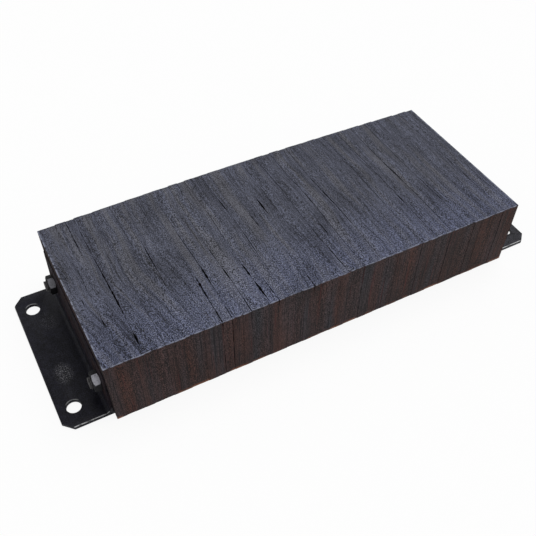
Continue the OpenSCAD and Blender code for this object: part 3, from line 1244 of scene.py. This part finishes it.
def rod_mesh(name, steel, low, high):
    """A tie rod along x with its thread at the low end, closed at both ends"""
    pitch = steel.thread_pitch
    ends_at = low.x + steel.thread_length
    stations = np.concatenate([
        np.arange(low.x, ends_at, pitch / THREAD_RINGS),
        np.linspace(ends_at, high.x - steel.rod_bevel, SHANK_RINGS),
        [high.x],
    ])
    angles = np.linspace(0.0, math.tau, ROD_SIDES, endpoint=False)
    x, turn = np.meshgrid(stations, angles, indexing="ij")
    turns = (x - low.x) / pitch + turn / math.tau
    valley = np.abs(turns % 1.0 - 0.5) * 2.0
    cut = steel.thread_depth * np.clip((valley - CREST_SHARE) / FLANK_SHARE, 0.0, 1.0)
    fade = np.clip((ends_at - x) / (2 * pitch), 0.0, 1.0)
    from_end = np.minimum(x - low.x, high.x - x)
    bevelled = ROD_RADIUS - np.maximum(0.0, steel.rod_bevel - from_end)
    radius = np.minimum(ROD_RADIUS - cut * fade, bevelled)
    y = (low.y + high.y) / 2 + radius * np.cos(turn)
    z = (low.z + high.z) / 2 + radius * np.sin(turn)
    points = np.stack([x, y, z], axis=-1).reshape(-1, 3)
    ids = np.arange(len(points)).reshape(x.shape)
    ahead = np.roll(ids, -1, axis=1)
    walls = np.stack([ids[:-1], ahead[:-1], ahead[1:], ids[1:]], axis=-1).reshape(-1, 4)
    caps = [ids[0][::-1].tolist(), ids[-1].tolist()]
    mesh = mesh_of(name, points.tolist(), walls.tolist() + caps)
    point_outwards(mesh)
    mesh.set_sharp_from_angle(angle=math.radians(ROD_FOLD))
    return mesh


class BUMPER_OT_tie_rods(bpy.types.Operator):
    """Build the two tie rods with their threads"""

    bl_idname = "bumper.tie_rods"
    bl_label = "Tie Rods"

    def execute(self, context):
        steel = context.scene.bumper_steel
        finish = metal_finish(
            "rod_steel_bare", steel.rod, specular=0.15, roughness=0.5, metallic=0.2, dirt=0.7
        )
        for side in SIDES:
            source = f"{side}_tie_rod"
            mesh = rod_mesh(f"threaded_{source}", steel, *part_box(source))
            mesh.materials.append(finish)
            piece = new_piece(f"threaded_{source}", mesh)
            hand_over(piece, "rod_steel", source)
        return {"FINISHED"}


class BUMPER_OT_nuts(bpy.types.Operator):
    """Finish the two nuts"""

    bl_idname = "bumper.nuts"
    bl_label = "Nuts"

    def execute(self, context):
        steel = context.scene.bumper_steel
        for side in SIDES:
            source = f"{side}_nut"
            # The far nut's plating is a darker copy of the near one's, as painted shade
            zinc = [NUT_PAINTED_LIGHT[side] * part for part in steel.zinc]
            finish = metal_finish(
                f"{side}_zinc_plate", zinc, specular=0.06, roughness=0.45, metallic=0.0, dirt=0.8,
                painted=NUT_FLANK_SHADE,
            )
            dress_solid(f"plated_{source}", source, finish, "nut_zinc", steel.nut_break, NUT_FOLD)
        return {"FINISHED"}


def weld_tree():
    """Geometry Nodes that run a rippled fillet weld round a rod"""
    inputs = {
        "Rod Radius": 0.0095,
        "Leg": 0.007,
        "Ripples": 26,
        "Ripple Height": 0.0005,
        "Centre": ORIGIN,
        "Seed": 0,
    }
    tree, given, result = shape_tree("Fillet Weld", inputs)
    leg = given["Leg"]
    ripple_height = given["Ripple Height"]
    path = out(
        tree, "GeometryNodeCurvePrimitiveCircle", {"Resolution": WELD_STEPS, "Radius": given["Rod Radius"]}
    )
    arc = out(
        tree, "GeometryNodeCurveArc",
        {
            "Resolution": 9,
            "Radius": leg,
            "Start Angle": 0.0,
            "Sweep Angle": math.pi / 2,
            "Connect Center": True,
        },
    )
    bead = out(
        tree, "GeometryNodeCurveToMesh", {"Curve": path, "Profile Curve": arc, "Fill Caps": False}
    )
    place, normal = place_and_normal(tree)
    x, y, z = split(place)
    outwards = vector("LENGTH", joined(x, y)) - given["Rod Radius"]
    skin = spread(outwards * abs(z), 0.0, leg * leg * 0.3)
    wobble = noise(place, 0.004, turn=given["Seed"])
    run = calc("ARCTAN2", y, x) / math.tau * given["Ripples"]
    crescent = calc("FRACT", run + outwards / leg * 0.6 + wobble * 0.5)
    height = (crescent - 1.0) * ripple_height + (wobble - 0.7) * ripple_height
    offset = scaled(normal, height * skin)
    rippled = out(tree, "GeometryNodeSetPosition", {"Geometry": bead, "Offset": offset})
    smooth = shaded(moved_to(rippled, given["Centre"]), True, "FACE")
    return end_tree(smooth, given["Material"], result)


class BUMPER_OT_welds(bpy.types.Operator):
    """Build the two rippled welds"""

    bl_idname = "bumper.welds"
    bl_label = "Welds"

    def execute(self, context):
        steel = context.scene.bumper_steel
        tree = weld_tree()
        finish = paint_finish(steel, "painted_weld")
        for seed, side in enumerate(SIDES):
            source = f"{side}_weld"
            low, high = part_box(source)
            piece = new_piece(f"rippled_{source}", bpy.data.meshes.new(f"rippled_{source}"))
            add_nodes(piece, tree, {
                "Rod Radius": ROD_RADIUS,
                "Leg": high.x - low.x,
                "Ripples": steel.weld_ripples,
                "Ripple Height": steel.weld_ripple_height,
                "Centre": (low.x, (low.y + high.y) / 2, (low.z + high.z) / 2),
                "Seed": seed,
                "Material": finish,
            })
            settle([piece])
            point_outwards(piece.data)
            hand_over(piece, "weld_metal", source)
        return {"FINISHED"}


# Stage

def seen_rays(tree):
    """1 for rays that show a surface: straight, mirrored or through glass"""
    rays = node(tree, "ShaderNodeLightPath").outputs
    straight, mirrored, through = (
        Wire(tree, rays[f"Is {kind} Ray"]) for kind in ("Camera", "Glossy", "Transmission")
    )
    return calc("MAXIMUM", calc("MAXIMUM", straight, mirrored), through)


def floor_finish(stage):
    """White floor that keeps the bumper's shadow"""
    finish = bpy.data.materials.new("studio_floor")
    finish.use_nodes = True
    tree = finish.node_tree
    tree.nodes.clear()
    matt = out(tree, "ShaderNodeBsdfDiffuse", {"Color": FLOOR_WHITE})
    glow = out(tree, "ShaderNodeEmission", {"Color": WHITE, "Strength": 1.0})
    share = seen_rays(tree) * stage.floor_glow
    blend = out(tree, "ShaderNodeMixShader", {0: share, 1: matt, 2: glow})
    node(tree, "ShaderNodeOutputMaterial", {"Surface": blend})
    return finish


def studio_world(stage):
    """Soft light from all round, white where it is seen"""
    world = bpy.data.worlds.new("studio")
    world.use_nodes = True
    tree = world.node_tree
    backdrop = tree.nodes["Background"].inputs
    backdrop["Color"].default_value = WHITE
    inputs = {0: seen_rays(tree), 2: stage.sky, 3: 1.0}
    feed(backdrop["Strength"], out(tree, "ShaderNodeMix", inputs, data_type="FLOAT"))
    return world


def towards(azimuth, elevation):
    """Unit vector from the bumper towards a place round it"""
    return Vector((
        math.sin(azimuth) * math.cos(elevation),
        -math.cos(azimuth) * math.cos(elevation),
        math.sin(elevation),
    ))


def camera_matrix(stage):
    """Place and turn of the camera"""
    back = towards(stage.azimuth, stage.elevation)
    level = Vector((math.cos(stage.azimuth), math.sin(stage.azimuth), 0.0))
    upright = back.cross(level)
    right = level * math.cos(stage.roll) + upright * math.sin(stage.roll)
    up = upright * math.cos(stage.roll) - level * math.sin(stage.roll)
    place = back * stage.distance - right * stage.slide[0] - up * stage.slide[1]
    turn = Matrix((right, up, back)).transposed()
    return Matrix.Translation(place) @ turn.to_4x4()


class BUMPER_OT_stage(bpy.types.Operator):
    """Set up the floor, the light and the camera"""

    bl_idname = "bumper.stage"
    bl_label = "Stage"

    def execute(self, context):
        scene = context.scene
        stage = scene.bumper_stage
        half = stage.floor_size / 2
        corners = [(-half, -half), (half, -half), (half, half), (-half, half)]
        mesh = bpy.data.meshes.new("studio_floor")
        mesh.from_pydata([(x, y, -stage.floor_drop) for x, y in corners], [], [(0, 1, 2, 3)])
        mesh.materials.append(floor_finish(stage))
        floor = new_piece("studio_floor", mesh)

        scene.world = studio_world(stage)
        sun = bpy.data.lights.new("soft_key", "SUN")
        sun.energy = stage.sun_strength
        sun.angle = stage.sun_softness
        lamp = bpy.data.objects.new("soft_key", sun)
        shines_from = towards(stage.sun_azimuth, stage.sun_elevation)
        lamp.rotation_euler = shines_from.to_track_quat("Z", "Y").to_euler()
        scene.collection.objects.link(lamp)

        view = bpy.data.cameras.new("camera")
        view.sensor_width = SENSOR
        view.lens = stage.lens
        camera = bpy.data.objects.new("camera", view)
        camera.matrix_world = camera_matrix(stage)
        scene.collection.objects.link(camera)
        scene.camera = camera
        scene.view_settings.view_transform = "Standard"
        return {"FINISHED"}


# Add-on

BUILD_STEPS = (
    BUMPER_OT_stage,
    BUMPER_OT_rubber_pads,
    BUMPER_OT_cord_ends,
    BUMPER_OT_angles,
    BUMPER_OT_tie_rods,
    BUMPER_OT_nuts,
    BUMPER_OT_welds,
)
SETTINGS = {
    "bumper_pads": PadSettings,
    "bumper_steel": SteelSettings,
    "bumper_stage": StageSettings,
}


class VIEW3D_PT_dock_bumper(bpy.types.Panel):
    """Buttons and settings of the dock bumper"""

    bl_label = "Dock Bumper"
    bl_space_type = "VIEW_3D"
    bl_region_type = "UI"
    bl_category = "Dock Bumper"

    def draw(self, context):
        layout = self.layout
        for step in BUILD_STEPS:
            layout.operator(step.bl_idname)
        for settings in SETTINGS:
            column = layout.column(align=True)
            group = getattr(context.scene, settings)
            for label in group.__annotations__:
                column.prop(group, label)


CLASSES = (*SETTINGS.values(), *BUILD_STEPS, VIEW3D_PT_dock_bumper)


def register():
    for made in CLASSES:
        bpy.utils.register_class(made)
    for name, group in SETTINGS.items():
        setattr(bpy.types.Scene, name, PointerProperty(type=group))


def unregister():
    for name in SETTINGS:
        delattr(bpy.types.Scene, name)
    for made in reversed(CLASSES):
        bpy.utils.unregister_class(made)


def main():
    register()
    bpy.ops.bumper.stage()
    bpy.ops.bumper.rubber_pads()
    bpy.ops.bumper.cord_ends()
    bpy.ops.bumper.angles()
    bpy.ops.bumper.tie_rods()
    bpy.ops.bumper.nuts()
    bpy.ops.bumper.welds()


if __name__ == "__main__":
    main()
